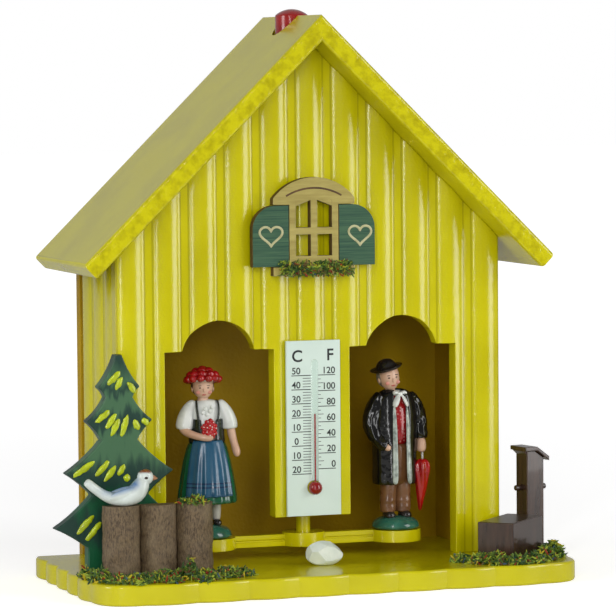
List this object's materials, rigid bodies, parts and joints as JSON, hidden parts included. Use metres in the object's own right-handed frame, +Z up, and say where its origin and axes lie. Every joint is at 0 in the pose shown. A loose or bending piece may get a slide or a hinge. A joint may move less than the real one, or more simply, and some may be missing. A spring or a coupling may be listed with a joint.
{
  "type": "weather house",
  "caption": "Small planked wooden house with doll figures on a beam that a gut string turns with the damp, a thermometer between the doorways and a chimney knob.",
  "frame": {"origin": "middle of the base plate's underside, on the table", "axes": "+Z up; the house front with its two doorways faces -Y; +X is to the right of someone who looks at the front"},
  "size_m": [0.168, 0.0853, 0.1822],
  "materials": {
    "yellow_lacquer": "thick gloss yellow lacquer on profiled boards",
    "yellow_plastic": "gloss yellow moulding",
    "bare_wood": "bare sawn softwood",
    "plywood": "thin plywood with burnt edges",
    "green_paint": "green stain over fine grain",
    "tree_paint": "brushed green paint",
    "moss": "loose dyed flock and sawdust",
    "log_brown": "brown stained bark",
    "well_brown": "dark brown gloss stain",
    "bird_paint": "hand painted",
    "white_stone": "white pebble",
    "red_lacquer": "gloss red lacquer",
    "figure_paint": "hand painted gloss moulding",
    "card": "printed card with a satin face",
    "glass": "clear capillary tube",
    "red_liquid": "dyed spirit",
    "gut": "twisted gut",
    "brass": "drawn brass",
    "steel": "bright nail heads"
  },
  "bodies": {
    "house": {"base_plate": "yellow_lacquer", "front_wall": "yellow_lacquer", "left_wall": "yellow_lacquer", "right_wall": "yellow_lacquer", "back_panel": "yellow_lacquer", "panel_nails": "steel", "ceiling_board": "yellow_lacquer", "guide_bush": "brass", "left_roof": "yellow_lacquer", "right_roof": "yellow_lacquer", "ridge_block": "bare_wood", "gut_string": "gut", "thermometer_card": "card", "thermometer_tube": "glass", "thermometer_liquid": "red_liquid", "window_frame": "plywood", "left_shutter": "green_paint", "right_shutter": "green_paint", "window_moss": "moss", "fir_tree": "tree_paint", "log_fence": "log_brown", "log_moss": "moss", "bird": "bird_paint", "well_trough": "well_brown", "well_post": "well_brown", "well_cap": "well_brown", "well_spout": "well_brown", "pebble": "white_stone", "moss_left": "moss", "moss_right": "moss"},
    "adjuster": {"chimney_knob": "red_lacquer", "knob_collar": "bare_wood"},
    "beam": {"beam": "yellow_plastic", "stem": "yellow_plastic", "woman_figure": "figure_paint", "man_figure": "figure_paint"}
  },
  "joints": [
    {"name": "beam_swing", "type": "hinge", "parent": "house", "child": "beam", "pos_m": [0, 0.00588, 0.0125], "axis": [0, 0, 1], "range_deg": [-28, 28], "stiffness_Nm_per_rad": 0.0015},
    {"name": "chimney_turn", "type": "hinge", "parent": "house", "child": "adjuster", "pos_m": [0, 0.01335, 0.17], "axis": [0, 0, 1], "range_deg": [-90, 90]}
  ]
}
